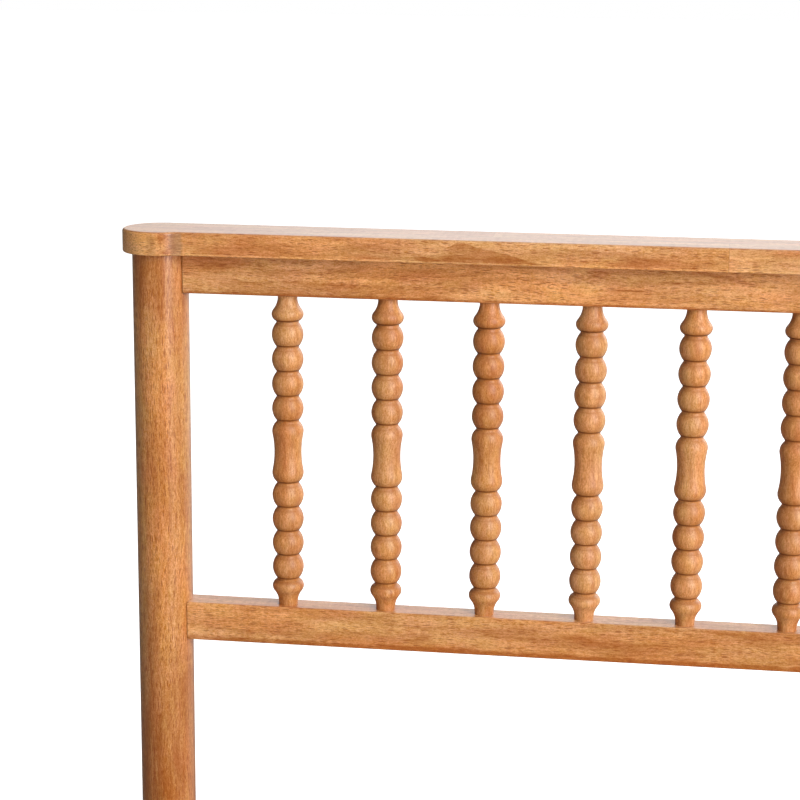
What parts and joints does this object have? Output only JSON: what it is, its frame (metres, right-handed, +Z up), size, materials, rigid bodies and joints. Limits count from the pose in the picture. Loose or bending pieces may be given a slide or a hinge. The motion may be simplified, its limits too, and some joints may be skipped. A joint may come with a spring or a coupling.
{
  "type": "spindle bed",
  "caption": "Wooden bed frame with round posts, moulded caps and turned spindles in its headboard and footboard; slats carry a mattress.",
  "frame": {"origin": "on the floor at the middle of the bed's footprint", "axes": "+X right as seen from the foot, +Y from foot to head, +Z up"},
  "size_m": [1.652, 2.17, 1.12],
  "materials": {
    "honey_wood": "satin lacquer, light brown hardwood",
    "slat_pine": "bare planed softwood",
    "beech": "bare beech dowel",
    "zinc_steel": "zinc plated",
    "black_steel": "black powder coat",
    "black_nylon": "moulded black nylon"
  },
  "bodies": {
    "bed_frame": {"bracket_screws": "zinc_steel", "cap_dowels": "beech", "centre_leg_foot": "slat_pine", "centre_leg_head": "slat_pine", "centre_rail": "slat_pine", "centre_rail_brackets": "black_steel", "footboard_bottom_rail": "honey_wood", "footboard_cap": "honey_wood", "footboard_post_left": "honey_wood", "footboard_post_right": "honey_wood", "footboard_spindle_01": "honey_wood", "footboard_spindle_02": "honey_wood", "footboard_spindle_03": "honey_wood", "footboard_spindle_04": "honey_wood", "footboard_spindle_05": "honey_wood", "footboard_spindle_06": "honey_wood", "footboard_spindle_07": "honey_wood", "footboard_spindle_08": "honey_wood", "footboard_spindle_09": "honey_wood", "footboard_spindle_10": "honey_wood", "footboard_spindle_11": "honey_wood", "footboard_spindle_12": "honey_wood", "footboard_spindle_13": "honey_wood", "footboard_top_rail": "honey_wood", "half_moon_washers": "zinc_steel", "headboard_bottom_rail": "honey_wood", "headboard_cap": "honey_wood", "headboard_post_left": "honey_wood", "headboard_post_right": "honey_wood", "headboard_spindle_01": "honey_wood", "headboard_spindle_02": "honey_wood", "headboard_spindle_03": "honey_wood", "headboard_spindle_04": "honey_wood", "headboard_spindle_05": "honey_wood", "headboard_spindle_06": "honey_wood", "headboard_spindle_07": "honey_wood", "headboard_spindle_08": "honey_wood", "headboard_spindle_09": "honey_wood", "headboard_spindle_10": "honey_wood", "headboard_spindle_11": "honey_wood", "headboard_spindle_12": "honey_wood", "headboard_spindle_13": "honey_wood", "headboard_spindle_rail": "honey_wood", "headboard_top_rail": "honey_wood", "leg_hanger_bolts": "zinc_steel", "mattress_slats": "slat_pine", "post_glides": "black_nylon", "rail_bolt_nuts": "zinc_steel", "rail_dowels": "beech", "rail_hanger_bolts": "zinc_steel", "side_rail_left": "honey_wood", "side_rail_right": "honey_wood", "slat_cleat_left": "slat_pine", "slat_cleat_right": "slat_pine", "threaded_inserts": "zinc_steel", "wood_screws": "zinc_steel"},
    "pad_head": {"leveller_pad_head": "black_nylon"},
    "pad_foot": {"leveller_pad_foot": "black_nylon"},
    "stud_head": {"leveller_stud_head": "zinc_steel"},
    "stud_foot": {"leveller_stud_foot": "zinc_steel"}
  },
  "joints": [
    {"name": "leveller_lift_head", "type": "slide", "parent": "bed_frame", "child": "pad_head", "axis": [0, 0, 1], "range_m": [0, 0.0126]},
    {"name": "leveller_turn_head", "type": "hinge", "parent": "pad_head", "child": "stud_head", "pos_m": [0, 0.345, 0.012], "axis": [0, 0, 1], "range_deg": [0, 3600]},
    {"name": "leveller_lift_foot", "type": "slide", "parent": "bed_frame", "child": "pad_foot", "axis": [0, 0, 1], "range_m": [0, 0.0126]},
    {"name": "leveller_turn_foot", "type": "hinge", "parent": "pad_foot", "child": "stud_foot", "pos_m": [0, -0.345, 0.012], "axis": [0, 0, 1], "range_deg": [0, 3600]}
  ],
  "couplings": [
    {"joint": "leveller_lift_head", "follows": "leveller_turn_head", "m_per_rad": 0.00019894},
    {"joint": "leveller_lift_foot", "follows": "leveller_turn_foot", "m_per_rad": 0.00019894}
  ]
}
